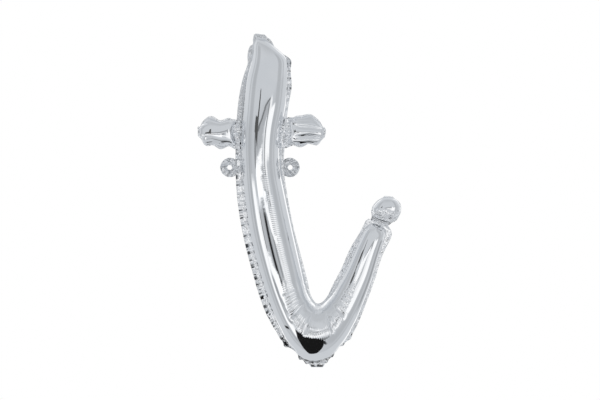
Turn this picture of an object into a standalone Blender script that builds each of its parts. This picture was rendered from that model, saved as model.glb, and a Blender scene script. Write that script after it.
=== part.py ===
"""Foil balloon in the shape of a handwritten letter t, 14 inches tall, filled with air.

Two foil films, front and back, are heat-sealed to each other all round the edge, and the sealed
edge stands out as a flat flange. The stroke is one long chamber, from the slanted top of the stem
round the bowl to the tip of the hook. The two arms of the crossbar and the round knob on the hook
are chambers of their own, pinched flat where they meet the stroke. Two hang tabs with a hole stand
out of the stem's flange, and the filling tail with its valve film is folded up behind the bowl.

Frame: +X to the letter's right, +Y away from its front, +Z up. The origin is half way between the
holes of the two hang tabs, on the plane of the seal.
"""
import math

import bmesh
import bpy
from mathutils import Matrix, Vector

MM = 0.001

# Foil. The real film is about 0.04 mm thick, and it is drawn thicker here so that it makes a solid.
FILM_THICKNESS = 0.8 * MM
PLY_GAP = 0.3 * MM

# A chamber's skin: how far apart its sections are, and the faces across each section's arch.
SECTION_STEP = 9.0 * MM
ARCH_FACES = 10
SMALL_ARCH_FACES = 8
SMALL_SECTION_STEP = 4.5 * MM

# Every chamber is a table of sections, in mm, each drawn from one seal line to the other:
# first seal x, first seal z, second seal x, second seal z, bulge, first flange, second flange.
# The bulge is how far the film stands off the plane of the seal, and the flanges are the widths
# of sealed film beyond the two seal lines.
STROKE_SECTIONS = (
    (-3.5, 139.0, 6.0, 137.5, 0.0, 3.0, 3.0),
    (-7.5, 131.0, 20.0, 125.5, 8.5, 2.5, 3.0),
    (-8.5, 122.5, 29.5, 117.0, 14.5, 2.5, 4.5),
    (-11.0, 110.5, 30.5, 105.5, 18.5, 2.5, 3.0),
    (-15.5, 93.5, 30.0, 87.0, 22.0, 3.5, 5.0),
    (-18.5, 68.0, 28.0, 63.5, 23.0, 5.0, 3.0),
    (-20.5, 36.0, 22.5, 35.0, 22.0, 5.0, 6.0),
    (-20.0, -0.5, 21.5, 1.5, 21.5, 6.0, 5.0),
    (-17.5, -35.0, 27.0, -29.5, 22.5, 6.5, 3.0),
    (-12.0, -72.0, 34.0, -62.5, 23.5, 6.0, 2.0),
    (-3.0, -107.5, 41.5, -96.0, 23.5, 6.0, 3.5),
    (8.5, -143.0, 48.0, -124.5, 23.5, 6.5, 4.5),
    (23.5, -177.0, 53.0, -138.5, 24.5, 5.5, 3.0),
    (40.5, -199.5, 58.0, -145.0, 25.5, 5.5, 2.0),
    (60.0, -207.0, 62.0, -146.5, 27.0, 5.0, 2.0),
    (80.0, -197.5, 67.5, -145.0, 24.5, 4.5, 2.0),
    (96.5, -176.0, 73.5, -139.5, 21.5, 4.5, 3.0),
    (110.0, -147.0, 81.5, -128.0, 18.0, 2.5, 5.0),
    (120.0, -120.5, 91.5, -109.5, 15.5, 2.5, 5.5),
    (127.5, -94.5, 101.5, -87.0, 13.5, 3.0, 5.5),
    (133.0, -76.5, 110.5, -69.0, 11.0, 6.0, 3.5),
    (135.0, -69.0, 115.0, -63.0, 8.0, 7.0, 4.5),
    (131.5, -63.5, 121.5, -59.5, 0.0, 8.5, 8.5),
)
CROSSBAR_LEFT_SECTIONS = (
    (-26.6, 49.0, -26.6, 23.0, 0.0, 2.5, 6.5),
    (-30.0, 50.0, -30.0, 24.0, 8.5, 2.5, 3.0),
    (-40.5, 48.5, -40.5, 24.5, 13.0, 2.5, 3.0),
    (-52.5, 51.5, -52.5, 25.0, 14.0, 2.5, 2.5),
    (-59.5, 48.0, -59.0, 28.5, 10.5, 2.5, 3.0),
    (-63.5, 42.5, -63.0, 34.0, 0.0, 2.5, 3.0),
)
CROSSBAR_RIGHT_SECTIONS = (
    (31.2, 52.0, 29.8, 23.0, 0.0, 5.5, 4.5),
    (35.0, 51.5, 34.0, 25.0, 8.5, 3.0, 2.5),
    (45.0, 52.0, 45.0, 24.0, 13.5, 2.5, 2.5),
    (56.5, 50.5, 56.5, 24.0, 14.5, 2.5, 2.5),
    (63.5, 46.5, 63.0, 28.0, 11.0, 2.5, 2.5),
    (66.5, 40.5, 66.5, 33.5, 0.0, 2.5, 2.5),
)
KNOB_SECTIONS = (
    (135.5, -60.5, 120.5, -55.2, 0.0, 2.0, 2.0),
    (142.5, -56.5, 120.5, -49.5, 7.0, 2.0, 2.0),
    (147.5, -50.5, 121.0, -44.0, 9.5, 2.0, 2.0),
    (149.5, -42.5, 122.5, -39.0, 9.5, 2.0, 2.0),
    (146.5, -36.5, 127.5, -35.0, 7.0, 2.0, 2.0),
    (140.5, -32.5, 133.0, -32.5, 0.0, 2.0, 2.0),
)
TIP_FLANGE = 3.0 * MM

# Hang tabs: a disc with a hole, joined to the stem's flange along a chord, where the film folds.
TAB_THICKNESS = 1.0 * MM
TAB_RADIUS = 10.5 * MM
TAB_CENTRE_X = 32.0 * MM
TAB_HOLE_RADIUS = 3.0 * MM
TAB_HOLE_X = 32.5 * MM
LEFT_TAB_FOLD_X = -27.0 * MM
RIGHT_TAB_FOLD_X = 28.0 * MM
ROUND_STEPS = 32

# Filling tail: two foil plies with the valve film between them, folded up behind the bowl.
TAIL_FOLD = (61.0 * MM, 0.0, -214.2 * MM)
TAIL_WIDTH = 18.0 * MM
TAIL_MOUTH_WIDTH = 14.0 * MM
TAIL_LENGTH = 30.0 * MM
TAIL_CORNER = 3.0 * MM
TAIL_PLY = 0.6 * MM
TAIL_FOLD_BACK = math.radians(119.0)
VALVE_WIDTH = 9.0 * MM
VALVE_PROUD = 4.0 * MM

FOIL_COLOUR = (0.80, 0.81, 0.83)
VALVE_COLOUR = (0.86, 0.88, 0.88)


def clear_scene():
    for old in list(bpy.data.objects):
        bpy.data.objects.remove(old, do_unlink=True)


def material(name, colour, metallic, roughness):
    made = bpy.data.materials.new(name)
    made.use_nodes = True
    shader = made.node_tree.nodes["Principled BSDF"]
    shader.inputs["Base Color"].default_value = (*colour, 1.0)
    shader.inputs["Metallic"].default_value = metallic
    shader.inputs["Roughness"].default_value = roughness
    made.diffuse_color = (*colour, 1.0)
    return made


def new_object(name, data, finish, collection):
    made = bpy.data.objects.new(name, data)
    data.materials.append(finish)
    collection.objects.link(made)
    return made


def between(p0, p1, p2, p3, t):
    """A smooth curve's value between p1 and p2 at t, from 0 to 1, with p0 and p3 on either side."""
    return 0.5 * (
        2 * p1
        + (p2 - p0) * t
        + (2 * p0 - 5 * p1 + 4 * p2 - p3) * t * t
        + (3 * p1 - p0 - 3 * p2 + p3) * t * t * t
    )


def middle(section):
    return Vector((section[0] + section[2], section[1] + section[3])) / 2


def smooth_sections(table, step):
    """The table in metres, with smooth sections added between its rows about a step apart."""
    rows = [[value * MM for value in row] for row in table]
    ends = [rows[0], *rows, rows[-1]]
    made = []
    for p0, p1, p2, p3 in zip(ends, ends[1:], ends[2:], ends[3:]):
        pieces = max(1, round((middle(p2) - middle(p1)).length / step))
        for k in range(pieces):
            made.append([between(*values, k / pieces) for values in zip(p0, p1, p2, p3)])
    return [*made, rows[-1]]


def section_points(section, faces):
    """Points across one section: flange edge, seal, the arch, seal and flange edge."""
    first, second = Vector(section[0:2]), Vector(section[2:4])
    bulge, first_flange, second_flange = section[4:7]
    across = (second - first).normalized()
    points = [(first - across * first_flange, 0.0)]
    for k in range(faces + 1):
        angle = math.pi * k / faces
        share = (1 - math.cos(angle)) / 2
        points.append((first.lerp(second, share), max(0.0, bulge) * math.sin(angle)))
    points.append((second + across * second_flange, 0.0))
    return points


def film(name, sections, faces, side, open_end, finish, collection):
    """One ply of a chamber, the front one where side is -1 and the back one where it is 1.

    A chamber has a flange round its far end, and at its near end too where that is an open end.
    """
    rows = [section_points(section, faces) for section in sections]
    onward = (middle(sections[-1]) - middle(sections[-2])).normalized() * TIP_FLANGE
    rows.append([(point + onward, 0.0) for point, _ in rows[-1]])
    if open_end:
        upward = (middle(sections[0]) - middle(sections[1])).normalized() * TIP_FLANGE
        rows.insert(0, [(point + upward, 0.0) for point, _ in rows[0]])
    sheet = bmesh.new()
    grid = [
        [sheet.verts.new((p.x, side * (PLY_GAP / 2 + height), p.y)) for p, height in row]
        for row in rows
    ]
    for row, following in zip(grid, grid[1:]):
        for a, b, c, d in zip(row, row[1:], following[1:], following):
            sheet.faces.new((a, b, c, d))
    sheet.normal_update()
    if sum(face.normal.y * face.calc_area() for face in sheet.faces) * side < 0:
        bmesh.ops.reverse_faces(sheet, faces=sheet.faces)
    mesh = bpy.data.meshes.new(name)
    sheet.to_mesh(mesh)
    sheet.free()
    mesh.shade_smooth()
    made = new_object(name, mesh, finish, collection)
    wall = made.modifiers.new("film thickness", "SOLIDIFY")
    wall.thickness = FILM_THICKNESS
    wall.offset = 1.0
    wall.use_even_offset = False
    return made


def chamber(name, table, step, faces, open_end, finish, collection):
    sections = smooth_sections(table, step)
    for ply, side in (("front", -1), ("back", 1)):
        film(f"{name}_{ply}_film", sections, faces, side, open_end, finish, collection)


def flat_outline(name, outlines, thickness, finish, collection):
    """A flat piece as a filled 2D curve, which stands in its own XZ plane."""
    curve = bpy.data.curves.new(name, "CURVE")
    curve.dimensions = "2D"
    curve.fill_mode = "BOTH"
    curve.extrude = thickness / 2
    for outline in outlines:
        spline = curve.splines.new("POLY")
        spline.points.add(len(outline) - 1)
        for point, (x, z) in zip(spline.points, outline):
            point.co = (x, z, 0, 1)
        spline.use_cyclic_u = True
    return new_object(name, curve, finish, collection)


def arc(centre, radius, start, end, steps):
    return [
        (
            centre[0] + radius * math.cos(start + (end - start) * k / steps),
            centre[1] + radius * math.sin(start + (end - start) * k / steps),
        )
        for k in range(steps + 1)
    ]


def hang_tab(name, side, fold_x, finish, collection):
    """A disc cut off along its fold, with its origin on the fold. side is -1 left and 1 right."""
    reach = side * TAB_CENTRE_X - fold_x
    chord = math.acos(-abs(reach) / TAB_RADIUS)
    disc = arc((abs(reach), 0), TAB_RADIUS, -chord, chord, ROUND_STEPS)
    hole = arc((side * (side * TAB_HOLE_X - fold_x), 0), TAB_HOLE_RADIUS, 0, 2 * math.pi, ROUND_STEPS)
    outlines = [[(side * x, z) for x, z in outline] for outline in (disc, hole[:-1])]
    tab = flat_outline(name, outlines, TAB_THICKNESS, finish, collection)
    tab.location = (fold_x, 0, 0)
    tab.rotation_euler = (math.radians(90), 0, 0)


def tail_outline(root_width, mouth_width, start, end, corner):
    """A tongue that hangs down from its fold, with round corners at its mouth."""
    root, mouth = root_width / 2, mouth_width / 2
    right = arc((mouth - corner, -end + corner), corner, 0, -math.pi / 2, 4)
    left = arc((-mouth + corner, -end + corner), corner, -math.pi / 2, -math.pi, 4)
    return [(-root, -start), (root, -start), *right, *left]


def filling_tail(foil, clear, collection):
    """Two plies and the valve film, hung from an empty on the fold and turned up behind the bowl."""
    fold = bpy.data.objects.new("tail_fold", None)
    collection.objects.link(fold)
    fold.location = TAIL_FOLD
    fold.rotation_euler = (TAIL_FOLD_BACK, 0, 0)
    ply_step = TAIL_PLY + PLY_GAP
    ply = tail_outline(TAIL_WIDTH, TAIL_MOUTH_WIDTH, 0, TAIL_LENGTH, TAIL_CORNER)
    valve_end = TAIL_LENGTH + VALVE_PROUD
    valve = tail_outline(VALVE_WIDTH, VALVE_WIDTH, ply_step, valve_end, TAIL_CORNER / 2)
    for name, outline, place, finish in (
        ("tail_front_ply", ply, -ply_step, foil),
        ("valve_film", valve, 0.0, clear),
        ("tail_back_ply", ply, ply_step, foil),
    ):
        made = flat_outline(name, [outline], TAIL_PLY, finish, collection)
        made.parent = fold
        made.matrix_local = Matrix.Translation((0, place, 0)) @ Matrix.Rotation(math.radians(90), 4, "X")


def main():
    clear_scene()
    collection = bpy.data.collections.new("letter_t_foil_balloon")
    bpy.context.scene.collection.children.link(collection)
    foil = material("silver_foil", FOIL_COLOUR, 1.0, 0.08)
    clear = material("clear_valve_film", VALVE_COLOUR, 0.0, 0.25)
    chamber("stroke", STROKE_SECTIONS, SECTION_STEP, ARCH_FACES, True, foil, collection)
    for name, table in (
        ("crossbar_left", CROSSBAR_LEFT_SECTIONS),
        ("crossbar_right", CROSSBAR_RIGHT_SECTIONS),
        ("end_knob", KNOB_SECTIONS),
    ):
        chamber(name, table, SMALL_SECTION_STEP, SMALL_ARCH_FACES, False, foil, collection)
    hang_tab("hang_tab_left", -1, LEFT_TAB_FOLD_X, foil, collection)
    hang_tab("hang_tab_right", 1, RIGHT_TAB_FOLD_X, foil, collection)
    filling_tail(foil, clear, collection)


main()
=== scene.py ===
# %% [markdown]
# # A foil balloon in the shape of a handwritten letter t
#
# The real thing is two sheets of silvered plastic film, cut to one outline and welded together
# round the edge. Air goes in at a tail under the bowl, the film swells into fat tubes, and because
# film bends but won't stretch, every place where it has length to spare turns into a pucker. Those
# puckers, and the bright room that the mirror finish shows, are all there is to see, so this lesson
# is mostly about getting a sheet to swell the way foil does.
#
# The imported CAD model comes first. It fixes the size, the place and the moving bodies.

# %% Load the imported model
import math

import bpy
import numpy as np
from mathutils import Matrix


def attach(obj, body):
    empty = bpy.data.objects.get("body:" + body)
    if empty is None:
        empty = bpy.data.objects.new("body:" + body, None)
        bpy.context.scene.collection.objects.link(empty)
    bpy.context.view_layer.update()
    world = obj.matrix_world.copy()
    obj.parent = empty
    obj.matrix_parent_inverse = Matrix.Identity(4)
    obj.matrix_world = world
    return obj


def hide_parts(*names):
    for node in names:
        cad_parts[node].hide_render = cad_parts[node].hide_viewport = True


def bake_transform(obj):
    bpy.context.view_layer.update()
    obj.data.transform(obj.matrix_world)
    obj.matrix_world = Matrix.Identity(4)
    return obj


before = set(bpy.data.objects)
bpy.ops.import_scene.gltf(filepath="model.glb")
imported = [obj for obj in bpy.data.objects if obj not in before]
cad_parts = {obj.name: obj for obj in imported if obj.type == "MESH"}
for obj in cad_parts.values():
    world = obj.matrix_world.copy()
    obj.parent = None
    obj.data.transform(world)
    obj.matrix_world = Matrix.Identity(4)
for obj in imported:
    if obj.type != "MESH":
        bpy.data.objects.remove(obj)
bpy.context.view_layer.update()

# %% [markdown]
# ## The camera
#
# The photograph looks straight at the front of the letter, from about an arm and a half away. The
# camera aims at the point of the letter's plane that lies in the middle of the photograph, and the
# width that the picture takes in there sets the lens. No shift and no depth of field are needed.

# %% Camera
PICTURE_WIDTH = 0.6426
PICTURE_CENTRE = (0.0428, -0.0348)
CAMERA_DISTANCE = 0.95
SENSOR_WIDTH = 36

bpy.ops.object.camera_add(
    location=(PICTURE_CENTRE[0], -CAMERA_DISTANCE, PICTURE_CENTRE[1]),
    rotation=(math.radians(90), 0, 0),
)
camera = bpy.context.object
camera.name = "camera"
camera.data.sensor_width = SENSOR_WIDTH
camera.data.lens = SENSOR_WIDTH * CAMERA_DISTANCE / PICTURE_WIDTH
bpy.context.scene.camera = camera
print("lens in mm:", round(camera.data.lens, 1))

# %% [markdown]
# ## The chambers as tables
#
# Each chamber is a row of sections drawn across it, from one weld line to the other. A sweep along
# a centre line would be shorter to write, but at the inside of the bowl it would fold through
# itself, so each section states both of its ends, and the sections fan round the bowl like the
# spokes of a wheel. All numbers are in millimetres. The arms of the crossbar and the knob have many
# short rows, because their outlines are scalloped.

# %% Section tables
# first weld x, first weld z, second weld x, second weld z, bulge, first flange, second flange
STROKE_SECTIONS = (
    (-3.5, 139.0, 6.0, 137.5, 0.0, 3.0, 3.0),
    (-7.5, 131.0, 20.0, 125.5, 8.5, 2.5, 3.0),
    (-8.5, 122.5, 29.5, 117.0, 13.5, 2.5, 4.5),
    (-11.0, 110.5, 30.5, 105.5, 16.8, 2.5, 3.0),
    (-15.5, 93.5, 30.0, 87.0, 19.8, 3.5, 5.0),
    (-18.5, 68.0, 28.0, 63.5, 22.0, 5.0, 3.0),
    (-20.5, 36.0, 22.5, 35.0, 23.0, 5.0, 6.0),
    (-20.0, -0.5, 21.5, 1.5, 23.2, 6.0, 5.0),
    (-17.5, -35.0, 27.0, -29.5, 23.3, 6.5, 3.0),
    (-12.0, -72.0, 34.0, -62.5, 23.5, 6.0, 2.0),
    (-3.0, -107.5, 41.5, -96.0, 23.5, 6.0, 3.5),
    (8.5, -143.0, 48.0, -124.5, 23.5, 6.5, 4.5),
    (23.5, -177.0, 53.0, -138.5, 24.5, 4.8, 3.0),
    (40.5, -199.5, 58.0, -145.0, 25.5, 3.4, 2.0),
    (60.0, -207.0, 62.0, -146.5, 27.0, 3.0, 2.0),
    (80.0, -197.5, 67.5, -145.0, 24.5, 3.2, 2.0),
    (96.5, -176.0, 73.5, -139.5, 21.5, 3.6, 3.0),
    (110.0, -147.0, 81.5, -128.0, 18.0, 2.5, 5.0),
    (120.0, -120.5, 91.5, -109.5, 15.5, 2.5, 5.5),
    (127.5, -94.5, 101.5, -87.0, 13.5, 3.0, 5.5),
    (133.0, -76.5, 110.5, -69.0, 11.0, 6.0, 3.5),
    (135.0, -69.0, 115.0, -63.0, 8.0, 7.0, 4.5),
    (131.5, -63.5, 121.5, -59.5, 0.0, 8.5, 8.5),
)
CROSSBAR_LEFT_SECTIONS = (
    (-26.6, 49.5, -26.6, 22.5, 0.0, 2.5, 4.0),
    (-30.0, 51.4, -30.0, 23.8, 8.0, 2.0, 2.0),
    (-34.0, 51.0, -34.0, 24.2, 11.0, 1.8, 1.8),
    (-38.0, 50.0, -38.0, 22.4, 12.6, 1.8, 1.8),
    (-42.6, 48.4, -42.2, 21.8, 13.0, 1.8, 1.8),
    (-46.6, 50.4, -46.2, 22.8, 13.4, 1.8, 1.8),
    (-51.0, 52.0, -50.4, 25.2, 13.6, 1.8, 1.8),
    (-55.4, 52.2, -54.2, 24.4, 12.8, 1.8, 1.8),
    (-59.4, 50.0, -58.2, 23.6, 11.0, 1.8, 1.8),
    (-62.0, 48.0, -61.2, 25.6, 9.0, 1.8, 1.8),
    (-63.9, 44.8, -63.7, 30.2, 6.5, 1.8, 1.8),
    (-65.2, 42.0, -65.2, 34.4, 0.0, 1.8, 1.8),
)
CROSSBAR_RIGHT_SECTIONS = (
    (31.2, 51.5, 29.8, 24.0, 0.0, 3.0, 3.0),
    (35.0, 53.0, 34.0, 25.2, 8.0, 2.0, 2.0),
    (39.5, 53.6, 38.5, 23.6, 11.5, 1.8, 1.8),
    (44.0, 53.2, 43.0, 22.8, 13.2, 1.8, 1.8),
    (48.5, 53.6, 47.5, 23.8, 14.0, 1.8, 1.8),
    (53.0, 53.4, 51.5, 25.6, 14.3, 1.8, 1.8),
    (57.5, 52.2, 55.5, 25.0, 13.6, 1.8, 1.8),
    (61.5, 49.6, 59.5, 24.4, 11.8, 1.8, 1.8),
    (64.8, 48.0, 63.4, 25.0, 9.6, 1.8, 1.8),
    (67.0, 45.0, 66.6, 28.6, 6.8, 1.8, 1.8),
    (68.4, 41.6, 68.2, 32.4, 0.0, 1.8, 1.8),
)
KNOB_SECTIONS = (
    (136.5, -61.2, 120.8, -55.0, 0.0, 2.0, 2.0),
    (142.6, -58.2, 119.8, -51.5, 6.0, 1.4, 1.4),
    (146.6, -54.0, 119.8, -47.0, 9.0, 1.2, 1.2),
    (149.4, -48.5, 121.0, -42.6, 10.6, 1.2, 1.2),
    (150.4, -43.0, 123.4, -38.6, 10.6, 1.2, 1.2),
    (149.2, -38.4, 126.4, -35.6, 9.4, 1.2, 1.2),
    (146.2, -34.6, 129.8, -33.2, 7.0, 1.2, 1.2),
    (141.6, -32.0, 134.0, -31.4, 0.0, 1.2, 1.2),
)

# %% [markdown]
# ## From a table to a fine grid
#
# Foil shows every bump in its mirror, so the mesh must be fine and even: about one face for every
# 2 mm, and for every 1 mm in the small chambers. A smooth curve through the table's rows gives the
# rows in between. Across each row the film stands up in an arch, and outside each weld the flange
# goes on flat.

# %% Rows in between
def smooth_rows(table, spacing):
    rows = np.array(table, float)
    middles = (rows[:, 0:2] + rows[:, 2:4]) / 2
    heights = rows[:, 4:5]
    gaps = np.linalg.norm(np.diff(np.hstack([middles, heights]), axis=0), axis=1)
    padded = np.vstack([rows[:1], rows, rows[-1:]])
    made = []
    for number, gap in enumerate(gaps):
        p0, p1, p2, p3 = padded[number:number + 4]
        pieces = max(1, round(gap / spacing))
        for t in np.arange(pieces) / pieces:
            made.append(0.5 * (
                2 * p1 + (p2 - p0) * t + (2 * p0 - 5 * p1 + 4 * p2 - p3) * t * t
                + (3 * p1 - p0 - 3 * p2 + p3) * t * t * t
            ))
    made = np.array([*made, rows[-1]])
    made[:, 4] = np.maximum(made[:, 4], 0)
    return made


print("rows in the stroke at 2 mm:", len(smooth_rows(STROKE_SECTIONS, 2.0)))

# %% [markdown]
# A chamber's two films share the vertices of the weld and of the flange, because that is where the
# real films are stuck together. Each film is a full rectangle of vertices, with the flange as its
# outer rows and columns, and two tables of numbers say which vertex stands where in each film.

# %% The two films of a chamber as one numbered grid
FLANGE_FACES = 3


def chamber_grid(rows, faces, end_flanges):
    """Vertex numbers of the front and the back film, and the places of the vertices, in mm."""
    first, second = rows[:, 0:2], rows[:, 2:4]
    half = (second - first) / 2
    along = half / np.linalg.norm(half, axis=1)[:, None]
    angles = np.pi * np.arange(faces + 1) / faces
    share = (1 - np.cos(angles)) / 2 if rows[:, 4].any() else angles / np.pi
    steps = np.arange(FLANGE_FACES, 0, -1) / FLANGE_FACES
    left = first[:, None] - along[:, None] * (rows[:, 5][:, None] * steps)[..., None]
    arch = first[:, None] * (1 - share)[None, :, None] + second[:, None] * share[None, :, None]
    right = second[:, None] + along[:, None] * (rows[:, 6][:, None] * steps[::-1])[..., None]
    flat = np.concatenate([left, arch, right], axis=1)
    height = np.zeros(flat.shape[:2])
    height[:, FLANGE_FACES:-FLANGE_FACES] = rows[:, 4][:, None] * np.sin(angles)[None]
    middle = (first + second) / 2
    before = middle[0] - middle[2]
    after = middle[-1] - middle[-3]
    head = [flat[0] + before / np.linalg.norm(before) * end_flanges[0] * step for step in steps]
    foot = [
        flat[-1] + after / np.linalg.norm(after) * end_flanges[1] * step for step in steps[::-1]
    ]
    flat = np.concatenate([head, flat, foot])
    edge = np.zeros((FLANGE_FACES, flat.shape[1]))
    height = np.concatenate([edge, height, edge])
    front = np.arange(height.size).reshape(height.shape)
    back = front.copy()
    apart = height > 0
    back[apart] = height.size + np.arange(apart.sum())
    places = np.empty((height.size + apart.sum(), 3))
    places[front] = np.stack([flat[..., 0], -height, flat[..., 1]], axis=2)
    places[back[apart]] = places[front[apart]] * (1, -1, 1)
    return front, back, places


# %% [markdown]
# ## The flat cut
#
# A balloon is cut larger than it ends up, because a film that won't stretch has to go round the
# chamber. For a small puffy chamber the flat cut can be worked out from the full one: each row is as
# wide as the arch above it, and the rows are as far apart as they are along the crest. The weld
# then has far more length than the outline it must fit, and it scallops by itself.

# %% Flat cut of a small chamber
def smooth_along(values, reach):
    weights = np.hanning(2 * reach + 3)[1:-1]
    weights /= weights.sum()
    first, last = np.repeat(values[:1], reach, 0), np.repeat(values[-1:], reach, 0)
    padded = np.concatenate([first, values, last])
    return np.apply_along_axis(np.convolve, 0, padded, weights, "valid")


def flat_cut(rows, wider, longer):
    """The rows of the flat cut. wider and longer are shares of the full width and length."""
    middle, half = (rows[:, 0:2] + rows[:, 2:4]) / 2, (rows[:, 2:4] - rows[:, 0:2]) / 2
    width = np.linalg.norm(half, axis=1)
    growth = np.pi * np.sqrt((1 + (rows[:, 4] / width) ** 2) / 2) / 2 * wider
    steps = np.diff(middle, axis=0)
    length = np.linalg.norm(steps, axis=1)
    growth_along = np.hypot(length, np.diff(rows[:, 4])) / length * longer
    travel = np.cumsum(steps * growth_along[:, None], axis=0)
    place = np.vstack([middle[:1], middle[0] + travel])
    reach = half * growth[:, None]
    return np.hstack([place - reach, place + reach, np.zeros((len(rows), 1)), rows[:, 5:7]])


# %% [markdown]
# ## Spare length
#
# The long stroke is a bent tube, and a bent tube's flat cut isn't simple. There the film keeps the
# lengths it has in the smooth shape, and gets its spare length directly, as a share of the distance
# to the next row: round the outside of a bend, where the film was cut longer than the path it now
# takes, and in two ridges, on the crest and on the inside, where a tight bend presses it together.
# That share will have to buckle, and a share too small to buckle is left out.

# %% Spare length along the stroke
BEND_REACH = 7
RIDGE_FADE = 0.35
LEAST_SPARE, SPARE_STEP = 0.015, 0.03
# most spare length, then centre and half-width as angles from the crest
CREST_RIDGE = (0.17, 0.18, 0.45)
INSIDE_RIDGE = (0.10, 1.25, 0.40)


def ridge(pressed, lean, most, centre, width):
    return np.minimum(pressed, most) * np.exp(-((lean - centre) / width) ** 2)


def spare_length(rows, faces, outside, crest, inside):
    """Shares of spare length, one for each row and each column of the arch."""
    middle = (rows[:, 0:2] + rows[:, 2:4]) / 2
    half = (rows[:, 2:4] - rows[:, 0:2]) / 2
    width = np.linalg.norm(half, axis=1)
    travel = np.linalg.norm(np.diff(middle, axis=0), axis=1)
    distance = np.concatenate([[0], np.cumsum(travel)])
    turn = np.unwrap(np.arctan2(half[:, 1], half[:, 0]))
    bend = (smooth_along(np.abs(np.gradient(turn, distance)), BEND_REACH) * width)[:, None]
    lean = np.pi * np.arange(faces + 1) / faces - np.pi / 2
    spare = bend * np.clip(np.sin(lean) - lean, 0, None) * outside
    fade = np.clip((lean + RIDGE_FADE) / RIDGE_FADE, 0, 1)
    spare += ridge(bend * crest, lean, *CREST_RIDGE) * fade
    spare += ridge(bend * inside, lean, *INSIDE_RIDGE)
    return spare * np.clip((spare - LEAST_SPARE) / SPARE_STEP, 0, 1)



# %% [markdown]
# ## Blowing it up
#
# Blender's Cloth puckers a balloon beautifully from its flat sheet. But a bent tube curls up as it
# fills, and Cloth can't hold an outline while it runs. The same physics is short to write with
# numpy. Every edge of the grid is a piece of film with a length of its own. A step adds a little air
# pressure along each vertex's normal, then moves the ends of each edge towards that length: firmly
# where the film is stretched, and weakly where it is pressed together, because film would sooner
# buckle. Edges that share no vertex are moved in one go, which makes it quick. Every few steps the
# letter is moved back on to its outline, by a smooth shift that the puckers don't feel.

# %% Edges of the film and their lengths
ALONG, ACROSS, SLANTING, BENDING = range(4)


def film_edges(front, back, cut, spare):
    """Pairs of vertices, their lengths in the cut shape with its spare share, and their kinds."""
    pairs, lengths, kinds = [], [], []

    def add(first, second, length, kind):
        pairs.append(np.stack([first.ravel(), second.ravel()], axis=1))
        lengths.append(length.ravel())
        kinds.append(np.full(first.size, kind))

    for film in (front, back):
        points = cut[film]
        down, over = np.diff(points, axis=0), np.diff(points, axis=1)
        longer = 1 + (spare[1:] + spare[:-1]) / 2
        down_length = np.linalg.norm(down, axis=2) * longer
        over_length = np.linalg.norm(over, axis=2)
        add(film[:-1], film[1:], down_length, ALONG)
        add(film[:, :-1], film[:, 1:], over_length, ACROSS)
        down = down * longer[..., None]
        down, over = (down[:, 1:] + down[:, :-1]) / 2, (over[1:] + over[:-1]) / 2
        add(film[:-1, :-1], film[1:, 1:], np.linalg.norm(down + over, axis=2), SLANTING)
        add(film[:-1, 1:], film[1:, :-1], np.linalg.norm(down - over, axis=2), SLANTING)
        add(film[:-2], film[2:], down_length[1:] + down_length[:-1], BENDING)
        add(film[:, :-2], film[:, 2:], over_length[:, 1:] + over_length[:, :-1], BENDING)
    pairs, lengths, kinds = np.vstack(pairs), np.concatenate(lengths), np.concatenate(kinds)
    low, high = pairs.min(axis=1), pairs.max(axis=1)
    single = np.unique(low * len(cut) + high, return_index=True)[1]
    single = single[pairs[single, 0] != pairs[single, 1]]
    return pairs[single], lengths[single], kinds[single]


def groups_without_shared_vertices(pairs, count):
    used, group = [0] * count, np.zeros(len(pairs), int)
    for number, (first, second) in enumerate(pairs.tolist()):
        taken, free = used[first] | used[second], 0
        while taken >> free & 1:
            free += 1
        group[number] = free
        used[first] |= 1 << free
        used[second] |= 1 << free
    return [np.flatnonzero(group == number) for number in range(group.max() + 1)]


# %% The inflation itself
# how firmly an edge pulls and pushes, in the order of the four kinds
PULL = np.array([1.0, 1.0, 0.4, 0.0])
PUSH = np.array([0.15, 0.15, 0.10, 0.03])
PRESSURE = 0.002
FILLING_STEPS = 40
START_NOISE = 0.08
FASTEST = 1.0
SPEED_KEPT = 0.92
WELD_HEIGHT_KEPT, FLANGE_HEIGHT_KEPT = 0.9, 0.97
OUTLINE_EVERY = 5
SHIFT_SHARE, WIDEN_SHARE = 0.5, 0.3


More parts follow.
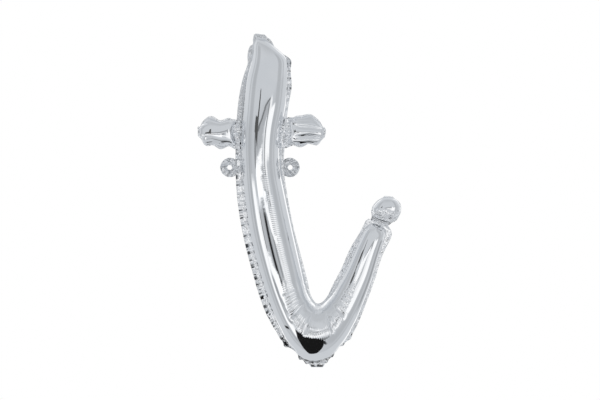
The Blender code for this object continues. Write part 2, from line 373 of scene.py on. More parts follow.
def inflate(front, back, places, cut, spare, steps, reach, seed):
    """Places of the vertices when the chamber is full, in mm."""
    pairs, lengths, kinds = film_edges(front, back, cut, spare)
    batches = [
        (pairs[one, 0], pairs[one, 1], lengths[one], PULL[kinds[one]] / 2, PUSH[kinds[one]] / 2)
        for one in groups_without_shared_vertices(pairs, len(places))
    ]
    inner = slice(FLANGE_FACES, -FLANGE_FACES)
    quads = []
    for film, turn in ((front, 1), (back, -1)):
        film = film[inner, inner]
        quad = np.stack([film[:-1, :-1], film[:-1, 1:], film[1:, 1:], film[1:, :-1]], axis=2)
        quads.append(quad.reshape(-1, 4)[:, ::turn])
    quads = np.vstack(quads)
    seam = front[inner, inner]
    weld = np.unique(np.concatenate([seam[[0, -1]].ravel(), seam[:, [0, -1]].ravel()]))
    apart = np.zeros(len(places), bool)
    apart[front[front != back]] = apart[back[front != back]] = True
    flange = np.setdiff1d(np.flatnonzero(~apart), weld)

    row = np.zeros(len(places), int)
    side = np.zeros(len(places))
    columns = front.shape[1] - 2 * FLANGE_FACES
    share = np.pad(-np.cos(np.pi * np.arange(columns) / (columns - 1)), FLANGE_FACES, mode="edge")
    for film in (front, back):
        row[film] = np.arange(len(film))[:, None]
        side[film] = share[None]

    def outline(points):
        both = (points[front[:, inner]].mean(axis=1) + points[back[:, inner]].mean(axis=1)) / 2
        spread = (points[front[:, -1 - FLANGE_FACES]] - points[front[:, FLANGE_FACES]]) / 2
        return both[:, [0, 2]], spread[:, [0, 2]]

    wanted_middle, wanted_spread = outline(places)
    points = places + np.random.default_rng(seed).normal(0, START_NOISE, places.shape)
    speed = np.zeros_like(points)
    for step in range(steps):
        across = points[quads[:, 2]] - points[quads[:, 0]]
        other = points[quads[:, 3]] - points[quads[:, 1]]
        # half of it is the face's area, and each of its four corners takes a quarter
        push = np.cross(other, across) / 8
        force = np.stack([
            sum(np.bincount(quads[:, corner], push[:, axis], len(points)) for corner in range(4))
            for axis in range(3)
        ], axis=1)
        before = points.copy()
        speed += force * PRESSURE * min(1.0, step / FILLING_STEPS)
        pace = np.linalg.norm(speed, axis=1, keepdims=True)
        speed *= np.minimum(1, FASTEST / np.maximum(pace, 1e-9))
        points = points + speed
        for first, second, length, pull, push_back in batches:
            gap = points[first] - points[second]
            distance = np.sqrt(np.einsum("ij,ij->i", gap, gap)) + 1e-9
            excess = distance - length
            gap *= (np.where(excess > 0, pull, push_back) * excess / distance)[:, None]
            points[first] -= gap
            points[second] += gap
        points[weld, 1] *= WELD_HEIGHT_KEPT
        points[flange, 1] *= FLANGE_HEIGHT_KEPT
        if step % OUTLINE_EVERY == OUTLINE_EVERY - 1:
            middle, spread = outline(points)
            shift = smooth_along(wanted_middle - middle, reach) * SHIFT_SHARE
            widen = smooth_along(wanted_spread - spread, reach) * WIDEN_SHARE
            move = shift[row] + widen[row] * side[:, None]
            points[:, [0, 2]] += move
            before[:, [0, 2]] += move
        speed = (points - before) * SPEED_KEPT
    print(f"  {len(points)} vertices, {len(pairs)} edges")
    return points


# %% [markdown]
# ## The flange
#
# Outside the weld the two sheets go on as a flat, cut edge a few millimetres wide. It has nothing to
# hold it flat, so it takes up the weld's spare length in sharp little folds that get deeper towards
# the cut. The inflation leaves the flange ragged, so its outline is smoothed here, and the folds are
# put in as a random height for each row that grows outwards. The nubs that stand out of the outline
# need a finer mesh and come later.

# %% Flange shaping
FOLD_GAIN = 1.7
NARROW_FOLD, WIDE_FOLD = 2, 6
CRINKLE = 0.35


def along_sides(shape, table):
    """Numbers in mm for the vertices, from rows of share of length, first and second side."""
    rows, columns = shape
    share, first_side, second_side = np.array(table).T
    length = np.linspace(0, 1, rows)
    numbers = np.zeros(shape)
    numbers[:, :columns // 2] = np.interp(length, share, first_side)[:, None]
    numbers[:, columns // 2:] = np.interp(length, share, second_side)[:, None]
    return numbers


def shape_flange(points, out, depth, tilt, seed):
    """Moves the flange vertices of a film, in mm. out is 0 at the weld and 1 at the cut edge."""
    random = np.random.default_rng(seed)
    rows, columns = points.shape[:2]
    shaped = points.copy()
    for ring in range(FLANGE_FACES):
        reach = FLANGE_FACES + 1 - ring
        for column in (ring, columns - 1 - ring):
            shaped[:, column, ::2] = smooth_along(points[:, column, ::2], reach)
        for row in (ring, rows - 1 - ring):
            shaped[row, :, ::2] = smooth_along(shaped[row, :, ::2], reach)
    centre = (columns - 1) / 2
    sideways = np.abs(np.arange(columns) - centre) > centre - FLANGE_FACES
    by_row = random.normal(0, 1, (rows, 2))
    by_row = FOLD_GAIN * (smooth_along(by_row, NARROW_FOLD) - smooth_along(by_row, WIDE_FOLD))
    by_row = np.repeat(by_row, (columns // 2, columns - columns // 2), axis=1)
    by_column = np.repeat(random.normal(0, 1, (1, columns)), rows, axis=0)
    fold = np.where(sideways[None], by_row, by_column)
    fold = fold + random.normal(0, CRINKLE, (rows, columns))
    shaped[..., 1] += (fold * depth + tilt) * out
    return shaped


# %% [markdown]
# ## A film as a Blender mesh
#
# A grid primitive already has the right faces, an even UV map and one vertex for each number in the
# film's table, so it only needs its vertices moved. Four numbers go with each vertex, as attributes
# for the material: how far out on the flange it is, how much spare length presses on it, how far
# along the chamber it lies and how creased it is. A Subdivision Surface rounds the puckers, and the
# nubs are then pushed out of the flange. A Displace gives creased places their finest creases, a
# second one crumples the knob, and a thin Solidify gives the film its two sides. The two plies of a
# flange lie a tenth of a millimetre apart.

# %% Film maker
MM = 0.001
PLY_OFFSET = 0.05
FILM_THICKNESS = 0.00004
FINE_CREASE_DEPTH = 0.0022


def deselect_all():
    if bpy.context.object and bpy.context.object.mode != "OBJECT":
        bpy.ops.object.mode_set(mode="OBJECT")
    bpy.ops.object.select_all(action="DESELECT")


def apply_modifiers(piece):
    deselect_all()
    bpy.context.view_layer.objects.active = piece
    piece.select_set(True)
    for name in [modifier.name for modifier in piece.modifiers]:
        bpy.ops.object.modifier_apply(modifier=name)


def add_modifier(piece, kind, **settings):
    modifier = piece.modifiers.new(kind.lower(), kind)
    for name, value in settings.items():
        setattr(modifier, name, value)
    return modifier


def add_creases(piece, texture, strength, mid_level=0.35, **group):
    add_modifier(
        piece, "DISPLACE", texture=texture, texture_coords="LOCAL", direction="Y",
        strength=strength, mid_level=mid_level, **group,
    )


def crinkle_texture(name, size, depth):
    texture = bpy.data.textures.new(name, "CLOUDS")
    texture.noise_scale = size
    texture.noise_depth = depth
    texture.noise_basis = "VORONOI_F2_F1"
    texture.contrast = 1.6
    return texture


FINE_CREASES = crinkle_texture("fine creases", 0.0035, 1)
BIG_CREASES = crinkle_texture("big creases", 0.008, 0)


def finish_film(piece, thickness, offset):
    add_modifier(piece, "SOLIDIFY", thickness=thickness, offset=offset)
    apply_modifiers(piece)
    bpy.ops.object.shade_smooth()
    print(f"  {piece.name}: {len(piece.data.polygons)} faces")
    return piece


def vertex_places(piece):
    places = np.empty(len(piece.data.vertices) * 3)
    piece.data.vertices.foreach_get("co", places)
    return places.reshape(-1, 3)


def move_vertices(piece, places):
    piece.data.vertices.foreach_set("co", places.ravel())
    piece.data.update()


def flip_faces():
    """Turns the faces of the active piece over."""
    bpy.ops.object.mode_set(mode="EDIT")
    bpy.ops.mesh.select_all(action="SELECT")
    bpy.ops.mesh.flip_normals()
    bpy.ops.object.mode_set(mode="OBJECT")


def push_nubs(piece, nubs):
    """Pushes the flange out at each nub: x, z, x and z of its hub, height and radius, in mm."""
    points, out = vertex_places(piece), np.empty(len(piece.data.vertices))
    piece.data.attributes["flange"].data.foreach_get("value", out)
    flat = points[:, ::2] / MM
    for x, z, hub_x, hub_z, height, radius in nubs:
        away = np.array((x - hub_x, z - hub_z))
        near = np.hypot(flat[:, 0] - x, flat[:, 1] - z) / radius
        push = height * out * np.exp(-(near ** 3))
        points[:, ::2] += away / np.linalg.norm(away) * push[:, None] * MM
    move_vertices(piece, points)


def make_film(name, points, side, numbers, nubs, crumple):
    """A film from its table of places, in mm. side is -1 at the front and 1 at the back."""
    rows, columns = points.shape[:2]
    deselect_all()
    bpy.ops.mesh.primitive_grid_add(x_subdivisions=columns - 1, y_subdivisions=rows - 1, size=1)
    piece = bpy.context.object
    piece.name = piece.data.name = name
    start = vertex_places(piece)
    order = np.lexsort((start[:, 0].round(5), start[:, 1].round(5)))
    placed = np.empty_like(start)
    placed[order] = points.reshape(-1, 3) * MM
    placed[:, 1] += side * PLY_OFFSET * MM
    move_vertices(piece, placed)
    for label, values in numbers.items():
        sorted_values = np.empty(rows * columns)
        sorted_values[order] = values.ravel()
        piece.data.attributes.new(label, "FLOAT", "POINT").data.foreach_set("value", sorted_values)
        if label == "creased":
            group = piece.vertex_groups.new(name="creased")
            for weight in np.unique(sorted_values.round(1)):
                same = np.flatnonzero(sorted_values.round(1) == weight)
                group.add(same.tolist(), float(min(weight, 1)), "REPLACE")
    if sum(face.normal.y * face.area for face in piece.data.polygons) * side < 0:
        flip_faces()
    add_modifier(piece, "SUBSURF", levels=1, render_levels=1)
    apply_modifiers(piece)
    push_nubs(piece, nubs)
    add_creases(piece, FINE_CREASES, FINE_CREASE_DEPTH, vertex_group="creased")
    if crumple:
        add_creases(piece, BIG_CREASES, crumple, vertex_group="creased")
    return finish_film(piece, FILM_THICKNESS, -1.0)


# %% [markdown]
# ## The chambers, one after another
#
# The arms of the crossbar are small and puffy, so they start from a flat cut and turn into deep
# scallops. The knob is round and only its root is crumpled, so all its spare length is there. The
# stroke is long and smooth, and buckles only round the bowl. Its nubs stand where the photograph
# shows them, along the slanted top and in a row under the bowl, and a negative height is a notch.

# %% Chambers
TOP_NUBS = (
    (1.0, 142.0, 2, 120, 2.6, 7.0), (14.0, 136.5, 4, 118, 2.2, 5.5),
    (-10.5, 122.0, 10, 120, 2.2, 8.0), (-9.0, 133.5, 10, 120, -1.6, 2.5),
    (8.8, 140.0, 4, 118, -1.0, 2.0), (20.0, 130.0, 8, 112, -1.2, 3.0),
)
BOWL_HUB = (61, -160)
BOWL_NUBS = tuple((x, z, *BOWL_HUB, height, radius) for x, z, height, radius in (
    (27.8, -190.5, 2.4, 3.2), (41.7, -203.6, 3.0, 3.0), (50.3, -207.4, 2.2, 2.4),
    (61.0, -210.2, 3.2, 3.8), (70.6, -206.8, 2.4, 2.4), (79.2, -201.4, 2.4, 2.8),
    (88.9, -191.0, 2.2, 2.8), (96.0, -182.0, 1.4, 3.0), (34.5, -199.0, -1.2, 2.0),
    (55.8, -209.5, -0.8, 1.6), (66.0, -209.5, -0.8, 1.6),
))
# folds and tilt: share of length, then a height for the first and for the second side
CROSSBAR = dict(
    spacing=1.1, faces=34, end_flanges=(5.0, 1.8), wider=0.95, longer=0.84, steps=900, reach=1,
    folds=((0, 1.0, 1.0), (0.2, 0.5, 0.5), (0.35, 0.1, 0.1), (1, 0, 0)),
)
CHAMBERS = {
    "stroke": dict(
        table=STROKE_SECTIONS, spacing=1.8, faces=38, end_flanges=(3.0, 3.0),
        spare=(0.30, 0.34, 0.30), steps=480, reach=9, nubs=TOP_NUBS + BOWL_NUBS,
        folds=(
            (0, 0.0, 0.05), (0.04, 0.05, 0.1), (0.06, 0.3, 0.9), (0.13, 0.35, 0.9),
            (0.16, 0.35, 0.4), (0.26, 0.6, 0.2), (0.33, 0.9, 0.15), (0.36, 1.3, 0.15),
            (0.58, 1.3, 0.15), (0.66, 0.9, 0.2), (0.78, 0.6, 0.5), (0.92, 0.5, 0.5), (1, 0.3, 0.3),
        ),
        tilt=((0, 0, 0), (0.22, 0, 0), (0.27, 0, 1.3), (0.60, 0, 1.3), (0.68, 0, 0), (1, 0, 0)),
    ),
    "crossbar_left": dict(CROSSBAR, table=CROSSBAR_LEFT_SECTIONS),
    "crossbar_right": dict(CROSSBAR, table=CROSSBAR_RIGHT_SECTIONS),
    "end_knob": dict(
        table=KNOB_SECTIONS, spacing=0.9, faces=32, end_flanges=(3.0, 1.0), crumpled=(0.20, 0.50),
        crumple=0.0045, steps=500, reach=3,
        folds=((0, 0.5, 0.5), (0.3, 0.2, 0.2), (0.5, 0, 0), (1, 0, 0)),
    ),
}
NO_TILT = ((0, 0, 0), (1, 0, 0))
# share of length, strength, centre and half-width as an angle from the crest
PLEATED = (
    (0, 0, 0, 0.3), (0.28, 0, 0.15, 0.25), (0.31, 0.03, 0.2, 0.25), (0.33, 0.04, 0.2, 0.25),
    (0.38, 0.04, 0.32, 0.18), (0.55, 0.045, 0.30, 0.2), (0.62, 0.09, 0.1, 0.3),
    (0.76, 0.09, 0.08, 0.3), (0.84, 0, 0.1, 0.3), (1, 0, 0, 0.3),
)
NOT_PLEATED = ((0, 0, 0, 1), (1, 0, 0, 1))
FIRST_FILLING_SEED, FIRST_FLANGE_SEED = 11, 31
DEEP_FOLD = 0.9
BUCKLED = 0.05
LONG_POLISH, SHORT_POLISH, SHORT_POLISH_SHARE = 14, 2, 0.6


def cut_and_spare(make, rows, front, back, places):
    """The places that set the film's lengths, and its shares of spare length."""
    if "spare" in make:
        spare = spare_length(rows, make["faces"], *make["spare"])
        return places, np.pad(spare, FLANGE_FACES, mode="edge")
    if "crumpled" in make:
        most, reach = make["crumpled"]
        fading = most * np.clip(1 - np.linspace(0, 1, len(front)) / reach, 0, 1)
        return places, np.repeat(fading[:, None], front.shape[1], 1)
    wanted = flat_cut(rows, make["wider"], make["longer"])
    pattern, _, flat = chamber_grid(wanted, make["faces"], make["end_flanges"])
    cut = np.empty_like(places)
    cut[front] = cut[back] = flat[pattern]
    return cut, np.zeros(front.shape)


def vertex_numbers(front, places, spare, pleated):
    """What the material and the flange need to know of each vertex."""
    rows, columns = front.shape
    to_end = np.minimum(np.arange(rows), np.arange(rows)[::-1])[:, None]
    to_side = np.minimum(np.arange(columns), np.arange(columns)[::-1])[None]
    out = np.clip(FLANGE_FACES - np.minimum(to_end, to_side), 0, None) / FLANGE_FACES
    middle = places[front].mean(axis=1)
    along = np.concatenate([[0], np.cumsum(np.linalg.norm(np.diff(middle, axis=0), axis=1))])
    arch = columns - 1 - 2 * FLANGE_FACES
    lean = np.pi * (np.arange(columns) - FLANGE_FACES) / arch - np.pi / 2
    share, *settings = np.array(pleated).T
    length = along / along[-1]
    strength, centre, width = (np.interp(length, share, one)[:, None] for one in settings)
    crest = strength * np.exp(-((lean - centre) / width) ** 4)
    return {
        "flange": out,
        "pressed": np.maximum(spare, crest) * (out == 0),
        "along": np.repeat(along[:, None], columns, 1),
    }


def polish(points, loose, times):
    """Smooths a film by a share for each vertex, mostly along its length."""
    for _ in range(times):
        calm = points.copy()
        calm[1:-1] = (points[:-2] + 2 * points[1:-1] + points[2:]) / 4
        calm[:, 1:-1] = (calm[:, :-2] + 4 * calm[:, 1:-1] + calm[:, 2:]) / 6
        points = points + (calm - points) * loose[..., None]
    return points


films = {}
for number, (name, make) in enumerate(CHAMBERS.items()):
    rows = smooth_rows(make["table"], make["spacing"])
    front, back, places = chamber_grid(rows, make["faces"], make["end_flanges"])
    cut, spare = cut_and_spare(make, rows, front, back, places)
    seed = FIRST_FILLING_SEED + number
    places = inflate(front, back, places, cut, spare, make["steps"], make["reach"], seed)
    numbers = vertex_numbers(front, places, spare, PLEATED if name == "stroke" else NOT_PLEATED)
    out, depth = numbers["flange"], along_sides(front.shape, make["folds"])
    tilt = along_sides(front.shape, make.get("tilt", NO_TILT))
    # creased drives the fine crease Displace, and also how much painted fold shade the foil material
    # lays on
    numbers["creased"] = out * depth / DEEP_FOLD
    if "crumpled" in make:
        numbers["creased"] = np.maximum(numbers["creased"], np.clip(spare * 9, 0, DEEP_FOLD))
    flange = shape_flange(places[front], out, depth, tilt, FIRST_FLANGE_SEED + number)
    for ply, side, film in (("front", -1, front), ("back", 1, back)):
        points = places[film]
        if "spare" in make:
            loose = np.clip(1 - spare / BUCKLED, 0, 1) * (front != back)
            points = polish(points, loose, LONG_POLISH)
        else:
            points = polish(points, SHORT_POLISH_SHARE * (front != back), SHORT_POLISH)
        points = np.where((out > 0)[..., None], flange, points)
        nubs, crumple = make.get("nubs", ()), make.get("crumple", 0)
        piece = make_film(f"{name}_{ply}", points, side, numbers, nubs, crumple)
        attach(piece, "envelope")
        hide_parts(f"{name}_{ply}_film")
        films[piece.name] = piece

# %% [markdown]
# ## The hang tabs
#
# Two round ears of doubled foil stand out on both sides of the stem, each with a hole for the line.
# They were never under pressure, but they have been folded, packed and handled, so they are crumpled
# all over. A circle is extruded inwards in rings as far as the hole and cut off straight where it
# goes in between the sheets of the flange. Its vertices are moved at random along their normals, a
# fan of pleats is laid from the root, and two Displaces add the creases.

# %% Hang tabs
TAB_RINGS = 5
TAB_RADIUS, TAB_CENTRE = 10.4, 32.0
HOLE_RADIUS, HOLE_CENTRE = 2.6, 32.5
TAB_THICKNESS = 0.00010
TAB_CRUMPLE = 0.9
PLEAT_HEIGHT, PLEAT_REACH = 1.1, 12
# painted fold shade on the tabs: the creased value that the foil material turns into near-black
# bands
TAB_PAINTED_SHADE = 0.55
TAB_BIG_DEPTH, TAB_FINE_DEPTH = 0.0040, 0.0012


def make_tab(name, sideways, root, seed):
    deselect_all()
    bpy.ops.mesh.primitive_circle_add(
        vertices=30, radius=TAB_RADIUS * MM, fill_type="NOTHING",
        location=(sideways * TAB_CENTRE * MM, 0, 0), rotation=(math.radians(90), 0, 0),
    )
    tab = bpy.context.object
    tab.name = tab.data.name = name
    bpy.ops.object.transform_apply(location=True, rotation=True, scale=True)
    bpy.ops.object.mode_set(mode="EDIT")
    bpy.ops.mesh.select_all(action="SELECT")
    hole = (sideways * HOLE_CENTRE * MM, 0, 0)
    band = TAB_RADIUS - HOLE_RADIUS
    radii = [TAB_RADIUS - band * ring / TAB_RINGS for ring in range(TAB_RINGS + 1)]
    for outer, inner in zip(radii, radii[1:]):
        bpy.ops.mesh.extrude_region()
        bpy.ops.transform.resize(value=(inner / outer,) * 3, center_override=hole)
    bpy.ops.mesh.select_all(action="SELECT")
    bpy.ops.mesh.bisect(
        plane_co=(root * MM, 0, 0), plane_no=(-sideways, 0, 0), clear_outer=True,
    )
    bpy.ops.mesh.select_all(action="SELECT")
    bpy.ops.mesh.normals_make_consistent(inside=False)
    bpy.ops.transform.vertex_random(
        offset=TAB_CRUMPLE * MM, uniform=0.2, normal=0.95, seed=seed,
    )
    bpy.ops.object.mode_set(mode="OBJECT")
    points = vertex_places(tab)
    reach = np.hypot(points[:, 0] - root * MM, points[:, 2]) / MM
    angle = np.arctan2(points[:, 2], np.abs(points[:, 0] - root * MM))
    pleat = np.sin(angle * 8 + seed) + 0.6 * np.sin(angle * 17 + 2 * seed)
    points[:, 1] += pleat * np.clip(reach / PLEAT_REACH, 0, 1) * PLEAT_HEIGHT * MM
    move_vertices(tab, points)
    everywhere = np.ones(len(points))
    for label, values in (
        ("flange", everywhere), ("creased", everywhere * TAB_PAINTED_SHADE),
        ("along", angle * 14 + reach * 0.25),
    ):
        tab.data.attributes.new(label, "FLOAT", "POINT").data.foreach_set("value", values)
    if sum(face.normal.y * face.area for face in tab.data.polygons) > 0:
        flip_faces()
    add_modifier(tab, "SUBSURF", levels=2, render_levels=2)
    add_creases(tab, BIG_CREASES, TAB_BIG_DEPTH, mid_level=0.4)
    add_creases(tab, FINE_CREASES, TAB_FINE_DEPTH)
    finish_film(tab, TAB_THICKNESS, 0.0)
    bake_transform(tab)
    return tab


films["crumpled_tab_left"] = make_tab("hang_tab_left_foil", -1, -24.8, 5)
films["crumpled_tab_right"] = make_tab("hang_tab_right_foil", 1, 25.6, 8)
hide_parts("hang_tab_left")
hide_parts("hang_tab_right")

# %% [markdown]
# ## The filling tail
#
# The tail is a strip of the same two sheets that was left on the flange under the bowl. It is folded
# up behind the bowl, so the photograph shows no more of it than a wider nub. Each sheet is a grid
# whose rows follow one path: down between the sheets of the flange, round the fold, and back and up.
# Between them lies the valve, a strip of clear film that sticks out at the mouth.

# %% Path of the tail
TAIL_FOLD = np.array((61.0, 0.0, -214.2))
FOLD_ANGLE = math.radians(119.0)
FOLD_RADIUS = 0.7
FOLD_LIFT = 0.9
SHEET_THICKNESS = 0.00008


def tail_path(distance):
    """The place and the outward direction at a distance past the start of the fold, in mm."""
    centre = TAIL_FOLD + (0, FOLD_RADIUS, FOLD_LIFT)
    turned = np.clip(distance / FOLD_RADIUS, 0, FOLD_ANGLE)
    outward = np.stack([0 * turned, -np.cos(turned), -np.sin(turned)], axis=-1)
    forward = np.stack([0 * turned, np.sin(turned), -np.cos(turned)], axis=-1)
    straight = distance - turned * FOLD_RADIUS
    return centre + outward * FOLD_RADIUS + forward * straight[..., None], outward


def tail_sheet(name, length, start, half_widths, offset, opening, seed):
    """A sheet from start to length on the path. offset and opening are heights above it, in mm."""
    rows, columns = 34, 18
    deselect_all()
    bpy.ops.mesh.primitive_grid_add(x_subdivisions=columns, y_subdivisions=rows, size=1)
    sheet = bpy.context.object
    sheet.name = sheet.data.name = name
    flat = vertex_places(sheet)
    share = flat[:, 1] + 0.5
    distance = start + (length - start) * share
    place, outward = tail_path(distance)
    width = np.interp(distance, *np.array(half_widths).T)
    place[:, 0] += flat[:, 0] * 2 * width
    open_here = np.cos(flat[:, 0] * math.pi) ** 0.5
    random = np.random.default_rng(seed)
    ripple = random.normal(0, 0.10, len(flat)) + 0.25 * np.sin(share * 19 + flat[:, 0] * 4 + seed)
    lift = offset + np.sign(offset) * opening * open_here * share ** 2
    lift = lift + ripple * np.clip(distance / 6, 0, 1)
    place += outward * lift[:, None]
    move_vertices(sheet, place * MM)
    facing = 0
    for face in sheet.data.polygons:
        facing += np.dot(face.normal, outward[face.vertices[0]]) * face.area
    if facing < 0:
        flip_faces()
    add_modifier(sheet, "SUBSURF", levels=1, render_levels=1)
    return finish_film(sheet, SHEET_THICKNESS, 0.0)


# %% Tail sheets and valve
SHEET_WIDTHS = ((-4, 7.5), (-1, 6.5), (1.0, 6.0), (3, 7.0), (7, 8.8), (10, 9.0), (30, 7.0))
tail_front = tail_sheet("tail_front_sheet", 30.0, -4.0, SHEET_WIDTHS, 0.18, 0.9, 3)
tail_back = tail_sheet("tail_back_sheet", 30.0, -4.0, SHEET_WIDTHS, -0.18, 0.9, 4)
valve = tail_sheet("valve_strip", 34.0, 3.0, ((0, 4.5), (34, 4.5)), 0.02, 0.0, 5)
for sheet in (tail_front, tail_back):
    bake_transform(sheet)
    films[sheet.name] = sheet
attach(valve, "filling_tail")
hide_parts("tail_front_ply")
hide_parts("tail_back_ply")
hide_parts("valve_film")

# %% [markdown]
# ## Writing shaders as sums
#
# Node trees read badly in code. A small class wraps a socket so that ordinary sums on it add Math
# nodes, and one method makes every other node.

# %% Shader maths
def feed(tree, entry, value):
    """Links a wire to an entry of a node, or sets the entry's value."""
    if isinstance(value, Wire):
        tree.links.new(value.socket, entry)
    else:
        entry.default_value = value


def overload(operation):
    """An operator on wires and its reflected form, which makes 1 - mask work."""
    return (
        lambda wire, other: wire.maths(operation, wire, other),
        lambda wire, other: wire.maths(operation, other, wire),
    )


class Wire:
    def __init__(self, tree, socket):
        self.tree, self.socket = tree, socket

    def maths(self, operation, *values):
        node = self.tree.nodes.new("ShaderNodeMath")
        node.operation = operation
        for entry, value in zip(node.inputs, values):
            feed(self.tree, entry, value)
        return Wire(self.tree, node.outputs[0])

    __add__, __radd__ = overload("ADD")
    __sub__, __rsub__ = overload("SUBTRACT")
    __mul__, __rmul__ = overload("MULTIPLY")

    def __abs__(self):
        return self.maths("ABSOLUTE", self)

    def ramp(self, low, high):
        """0 below low, 1 above high and a soft step between them."""
        node = self.tree.nodes.new("ShaderNodeMapRange")
        node.interpolation_type = "SMOOTHSTEP"
        node.inputs["From Min"].default_value = low
        node.inputs["From Max"].default_value = high
        self.tree.links.new(self.socket, node.inputs["Value"])
        return Wire(self.tree, node.outputs["Result"])

    def band(self, low, high, soft):
        return self.ramp(low - soft, low + soft) * (1 - self.ramp(high - soft, high + soft))


class Shader:
    def __init__(self, tree):
        self.tree = tree
        tree.nodes.clear()

    def node(self, kind, settings=None, **sockets):
        """Any node: its type, its settings, and its sockets by name, or as i and a number."""
        node = self.tree.nodes.new(kind)
        for name, value in (settings or {}).items():
            setattr(node, name, value)
        for name, value in sockets.items():
            numbered = name[0] == "i" and name[1:].isdigit()
            entry = node.inputs[int(name[1:]) if numbered else name.replace("_", " ")]
            feed(self.tree, entry, value)
        return node

    def wire(self, node, output=0):
        return Wire(self.tree, node.outputs[output])

    def place(self):
        return self.wire(self.node("ShaderNodeTexCoord"), "Object")

    def attribute(self, name):
        return self.wire(self.node("ShaderNodeAttribute", {"attribute_name": name}), "Fac")

    def noise(self, vector, scale, detail):
        node = self.node("ShaderNodeTexNoise", Vector=vector, Scale=scale, Detail=detail)
        return self.wire(node, "Fac")

    def mix(self, share, low, high):
        """A colour from low to high."""
        node = self.node("ShaderNodeMix", {"data_type": "RGBA"}, i0=share, i6=low, i7=high)
        return self.wire(node, 2)


def new_material(name):
    material = bpy.data.materials.new(name)
    material.use_nodes = True
    return material, Shader(material.node_tree)


# %% [markdown]
# ## The foil
#
# Silvered film is nearly a perfect mirror: fully metallic, almost white, with a trace of blue, and
# with a roughness close to nothing. What saves it from looking like chrome is its skin. It has a
# faint drag from rolling, fine pleats where a crest is pressed together, and a dull, stamped look
# on the flange, where the heat of the welding bar has worked on it. The shade of deep folds is
# painted into the base colour, so bands along the flange go nearly black where it is creased.

# %% Foil material
SILVER, PALE_SILVER = (0.855, 0.870, 0.890, 1), (0.885, 0.895, 0.910, 1)
# nearly black base colour: painted shade for the deep folds
PAINTED_FOLD_SHADE = (0.03, 0.035, 0.04, 1)

foil, s = new_material("silver_foil_film")
place = s.place()
flange_mask = s.attribute("flange").ramp(0.05, 0.5)
pressed, along, creased = (s.attribute(name) for name in ("pressed", "along", "creased"))
drag = s.noise(place, 90.0, 3.0)
patches = s.noise(place, 28.0, 2.0)
creases = s.noise(place, 420.0, 2.0)
wave = along * 3.0 + patches * 14
pleats = wave.maths("SINE", wave) * pressed.ramp(0.01, 0.09) * drag.ramp(0.30, 0.55)
across = s.node(
    "ShaderNodeCombineXYZ", X=along * 0.42 + drag * 0.5, Y=flange_mask * 0.6 + patches * 2.0,
)
# painted shade: noise bands darken the base colour towards near black, most where the film is
# creased
shade = s.noise(s.wire(across), 1.0, 1.5).ramp(0.54, 0.60) * creased.ramp(0.25, 1.0)
colour = s.mix(shade * 0.94, s.mix(patches.ramp(0.35, 0.65), SILVER, PALE_SILVER), PAINTED_FOLD_SHADE)
roughness = 0.03 + patches.ramp(0.3, 0.7) * 0.03 + flange_mask * 0.05
height = drag * 0.10 + creases * flange_mask * 0.6 + pleats * 0.30
bump = s.node("ShaderNodeBump", Height=height, Strength=1.0, Distance=0.0003)
principled = s.node(
    "ShaderNodeBsdfPrincipled", Base_Color=colour, Metallic=1.0, Roughness=roughness,
    Normal=s.wire(bump),
)
s.node("ShaderNodeOutputMaterial", Surface=s.wire(principled))
for piece in films.values():
    piece.data.materials.clear()
    piece.data.materials.append(foil)

# %% [markdown]
# ## The valve film
#
# The valve is a strip of clear, soft film, a little milky, with fine ripples where it was welded.

# %% Valve material
clear, c = new_material("clear_valve_film")
cloud = c.noise(c.place(), 160.0, 2.0)
tone = c.mix(cloud.ramp(0.3, 0.7), (0.82, 0.85, 0.86, 1), (0.92, 0.93, 0.93, 1))
ripples = c.node("ShaderNodeBump", Height=cloud, Strength=0.3, Distance=0.0003)
film = c.node(
    "ShaderNodeBsdfPrincipled", Base_Color=tone, Roughness=0.12 + cloud * 0.15, IOR=1.49,
    Alpha=0.45 + cloud * 0.25, Normal=c.wire(ripples),
)
c.node("ShaderNodeOutputMaterial", Surface=c.wire(film))
valve.data.materials.clear()
valve.data.materials.append(clear)

# %% [markdown]
# ## The room in the mirror
#
# A mirror has no colour of its own. What the photograph shows on the letter is a bright studio: grey
# light all round, soft boxes beside the camera and behind the letter, and dark panels with the gap
# that the camera looks out of. The background itself is pure white, and what the camera sees past
# the letter and what the foil sees are told apart by the ray's kind. Directions are given as a turn
# to the right of the camera and a rise above the horizon, in degrees. A band has a low and a high
# limit and a softness. The areas are laid over the room in the order of the list.

# %% World
world = bpy.data.worlds.new("studio")
bpy.context.scene.world = world
world.use_nodes = True
w = Shader(world.node_tree)
direction = w.node("ShaderNodeSeparateXYZ", Vector=w.wire(w.node("ShaderNodeTexCoord"), "Generated"))
right, away, up = (w.wire(direction, number) for number in range(3))
turn = right.maths("ARCTAN2", right, 0 - away) * (180 / math.pi)
rise = up.maths("ARCSINE", up) * (180 / math.pi)


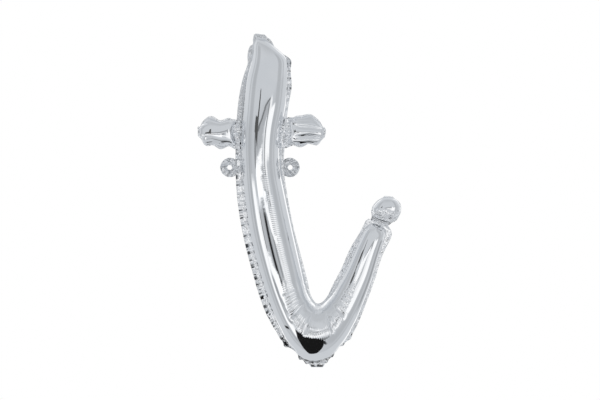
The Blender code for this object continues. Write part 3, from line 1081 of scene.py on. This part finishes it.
sides = abs(turn)
level = rise - turn * 0.15
lintel = rise - turn * 0.06
gap = level.band(-6.0, 1.0, 0.6)
AREAS = (
    # dim walls at both sides, their edges, and soft boxes behind the letter
    (sides.band(58, 80, 5) * rise.band(-50, 60, 8), 0.53),
    (sides.band(92, 96, 1.5) * rise.band(-60, 70, 10), 0.50),
    (sides.band(140, 157, 4) * rise.band(-30, 45, 8), 1.15),
    # the soft box on the left and the dark edge beside it
    (turn.band(-66, -47, 2.5) * rise.band(-50, -2.5, 1.5), 1.12),
    (turn.band(-78, -74, 1) * rise.band(-50, 9, 4), 0.44),
    # soft boxes on the right and a dark corner behind them
    (turn.band(20, 42, 3) * rise.band(-30, 10, 2), 0.98),
    (turn.band(36, 60, 3) * rise.band(-8, 3.6, 0.8), 1.10),
    (turn.band(34, 58, 3) * rise.band(-14, -4, 1), 1.10),
    (turn.band(98, 118, 3) * rise.band(-24, -12, 1.5), 0.38),
    # white below the camera and in a strip at its height
    (turn.band(-46, 8, 2) * rise.band(-24, -5, 2), 1.15),
    (turn.band(-34, 36, 2) * level.band(1.1, 6, 0.5) * rise.band(-6, 3.6, 0.5), 1.20),
    # the panel above the camera, its dark top edge and its two ends
    (turn.band(-37, 31, 1.0) * lintel.band(3.3, 8.8, 0.5), 0.50),
    (turn.band(-37, 31, 1.0) * lintel.band(7.4, 8.8, 0.7), 0.16),
    (turn.band(-37, -31, 1.0) * rise.band(0.5, 6.5, 0.6), 0.17),
    (turn.band(25, 31, 1.0) * rise.band(1.5, 7.5, 0.6), 0.33),
    # the panel that the camera looks out of, its two edges and the dark gap
    (turn.band(-42, 14, 1.5) * gap, 0.53),
    (turn.band(-42, -38, 1.0) * gap, 0.25),
    (turn.band(5, 13, 1.5) * gap, 0.35),
    (turn.band(-21, -6, 1.0) * gap, 0.28),
    (turn.band(-18, -9, 1.0) * level.band(-5.6, 0.6, 0.6), 0.02),
    # what stands low in front
    (turn.band(-54, -40, 2.0) * rise.band(-24, -16, 1.5), 0.36),
    (turn.band(-50, 50, 4) * rise.band(-32, -20, 3), 0.72),
    (turn.band(-60, 60, 6) * rise.band(-55, -50, 1), 0.03),
)
light = 0.61 + rise.ramp(9, 13) * 0.06 - rise.ramp(40, 85) * 0.10 + sides.ramp(92, 110) * 0.08
for mask, brightness in AREAS:
    light = light * (1 - mask) + mask * brightness

seen = w.wire(w.node("ShaderNodeLightPath"), "Is Camera Ray")
tint = w.mix(light.ramp(0.65, 1.05), (0.955, 0.985, 1.02, 1), (1, 1, 1, 1))
backdrop = w.node("ShaderNodeBackground", Color=(1, 1, 1, 1), Strength=1.0)
room = w.node("ShaderNodeBackground", Color=tint, Strength=light)
mixed = w.node("ShaderNodeMixShader", i0=seen, i1=w.wire(room), i2=w.wire(backdrop))
w.node("ShaderNodeOutputWorld", Surface=w.wire(mixed))
bpy.context.scene.view_settings.view_transform = "Standard"

# %% [markdown]
# A few cards stand and lie at a real distance, because a picture at infinity shows the same thing to
# every part of the letter. Two black ones lie under the bowl, which shows them as a triangle and a
# comma. A dark one and a white one stand in front of the hook and give it its long streaks. Their
# outlines were found by following the mirrored lines of sight until they meet the card.

# %% Cards
LYING_HEIGHT = -240
STANDING_PLACE = -410


def card_material(name, brightness):
    material, k = new_material(name)
    glow = k.node("ShaderNodeEmission", Color=(brightness, brightness, brightness, 1), Strength=1.0)
    k.node("ShaderNodeOutputMaterial", Surface=k.wire(glow))
    return material


black = card_material("black_card", 0.01)
dark = card_material("dark_card", 0.10)
white = card_material("white_card", 1.1)


def set_card(name, material, corners):
    """A card from its corners, in mm. The camera doesn't see it."""
    deselect_all()
    bpy.ops.mesh.primitive_circle_add(vertices=len(corners), radius=0.1, fill_type="NGON")
    card = bpy.context.object
    card.name = name
    for corner, place in zip(card.data.vertices, corners):
        corner.co = [value * MM for value in place]
    card.visible_camera = card.visible_shadow = False
    card.data.materials.append(material)


set_card("black_card_large", black, [(x, y, LYING_HEIGHT) for x, y in (
    (40, -13), (64, -20), (86, -38), (142, -98), (110, -142), (77, -160), (30, -160), (-13, -150),
    (-42, -138), (-62, -108), (-29, -57), (17, -24),
)])
set_card("black_card_small", black, [(x, y, LYING_HEIGHT) for x, y in (
    (-92, -4), (-80, -4), (-72, -48), (-84, -48),
)])
set_card("dark_card_upright", dark, [(x, STANDING_PLACE, z) for x, z in (
    (-145, 45), (-140, 80), (-152, 130), (-168, 230), (-200, 230), (-212, 140), (-330, 160),
    (-330, 105), (-200, 66),
)])
set_card("white_card_upright", white, [(x, STANDING_PLACE, z) for x, z in (
    (260, -28), (260, -66), (130, -78), (40, -68), (-20, -40), (-32, 16), (2, 22), (30, -22),
    (130, -34),
)])

# %% [markdown]
# ## The floor
#
# The floor is as white as the background, and only the camera sees it, because the room above
# already holds what the mirror shows from below.

# %% Floor
deselect_all()
bpy.ops.mesh.primitive_plane_add(size=6, location=(0, 0, -0.26))
floor = bpy.context.object
floor.name = "white_floor"
for ray in ("diffuse", "glossy", "transmission", "volume_scatter", "shadow"):
    setattr(floor, "visible_" + ray, False)
floor.data.materials.append(card_material("white_floor", 1.0))
